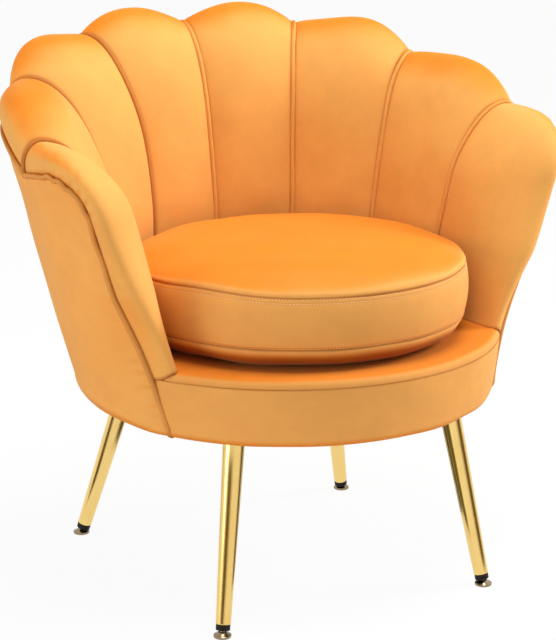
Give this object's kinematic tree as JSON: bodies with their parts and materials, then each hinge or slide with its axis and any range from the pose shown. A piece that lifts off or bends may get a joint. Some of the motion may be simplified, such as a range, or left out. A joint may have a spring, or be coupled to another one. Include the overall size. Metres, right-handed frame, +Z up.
{
  "type": "scallop back chair",
  "caption": "Round upholstered tub chair with a flared scalloped back of padded channels, a loose round seat cushion, piped edges and slim splayed metal legs.",
  "frame": {"origin": "on the floor, below the middle of the whole chair's outline", "axes": "+X to the sitter's left as seen from the front (the viewer's right), -Y out of the open front, +Z up"},
  "size_m": [0.7626, 0.6746, 0.7755],
  "materials": {
    "velvet": "short cotton velvet, marigold orange, soft sheen",
    "velvet_piping": "the same velvet rolled into piping, darker in the seams",
    "cambric": "black non-woven dust cloth",
    "plywood": "raw plywood and pine",
    "foam": "upholstery foam and wadding",
    "elastic": "woven elastic webbing",
    "gold_steel": "steel tube with polished gold plating",
    "plate_steel": "zinc-plated mounting plate",
    "black_plastic": "black moulded plastic",
    "nickel": "polished nickel"
  },
  "bodies": {
    "chair": {"channel_right_1": "velvet", "channel_right_2": "velvet", "channel_right_3": "velvet", "channel_right_4": "velvet", "channel_left_1": "velvet", "channel_left_2": "velvet", "channel_left_3": "velvet", "channel_left_4": "velvet", "seam_piping_centre": "velvet_piping", "seam_piping_right_1": "velvet_piping", "seam_piping_right_2": "velvet_piping", "seam_piping_right_3": "velvet_piping", "seam_piping_left_1": "velvet_piping", "seam_piping_left_2": "velvet_piping", "seam_piping_left_3": "velvet_piping", "edge_welt": "velvet_piping", "outer_cover": "velvet", "front_border": "velvet", "deck_cover": "velvet", "base_ring": "plywood", "seat_hoop": "plywood", "lower_rail": "plywood", "top_rail": "plywood", "back_upright_1": "plywood", "back_upright_2": "plywood", "back_upright_3": "plywood", "back_upright_4": "plywood", "back_upright_5": "plywood", "arm_post_right": "plywood", "arm_post_left": "plywood", "webbing_lengthways_1": "elastic", "webbing_lengthways_2": "elastic", "webbing_lengthways_3": "elastic", "webbing_crossways_1": "elastic", "webbing_crossways_2": "elastic", "webbing_crossways_3": "elastic", "deck_pad": "foam", "dust_cover": "cambric", "leg_front_left": "gold_steel", "leg_plate_front_left": "plate_steel", "end_plug_front_left": "black_plastic", "leg_front_right": "gold_steel", "leg_plate_front_right": "plate_steel", "end_plug_front_right": "black_plastic", "leg_back_left": "gold_steel", "leg_plate_back_left": "plate_steel", "end_plug_back_left": "black_plastic", "leg_back_right": "gold_steel", "leg_plate_back_right": "plate_steel", "end_plug_back_right": "black_plastic"},
    "cushion": {"cushion_core": "foam", "cushion_top": "velvet", "cushion_base": "velvet", "cushion_boxing": "velvet", "zip_tape": "velvet_piping"},
    "zip_slider": {"zip_slider": "nickel"},
    "glide_front_left": {"glide_front_left": "nickel"},
    "glide_front_right": {"glide_front_right": "nickel"},
    "glide_back_left": {"glide_back_left": "nickel"},
    "glide_back_right": {"glide_back_right": "nickel"}
  },
  "joints": [
    {"name": "cushion_lift", "type": "slide", "parent": "chair", "child": "cushion", "axis": [0, 0, 1], "range_m": [0, 0.42]},
    {"name": "zip_run", "type": "hinge", "parent": "cushion", "child": "zip_slider", "pos_m": [0, -0.07129, 0.42], "axis": [0, 0, 1], "range_deg": [0, 84]},
    {"name": "glide_screw_front_left", "type": "slide", "parent": "chair", "child": "glide_front_left", "axis": [-0.1448, -0.1525, -0.9776], "range_m": [0, 0.008]},
    {"name": "glide_screw_front_right", "type": "slide", "parent": "chair", "child": "glide_front_right", "axis": [0.1448, -0.1525, -0.9776], "range_m": [0, 0.008]},
    {"name": "glide_screw_back_left", "type": "slide", "parent": "chair", "child": "glide_back_left", "axis": [-0.2183, 0.2289, -0.9487], "range_m": [0, 0.008]},
    {"name": "glide_screw_back_right", "type": "slide", "parent": "chair", "child": "glide_back_right", "axis": [0.2183, 0.2289, -0.9487], "range_m": [0, 0.008]}
  ]
}
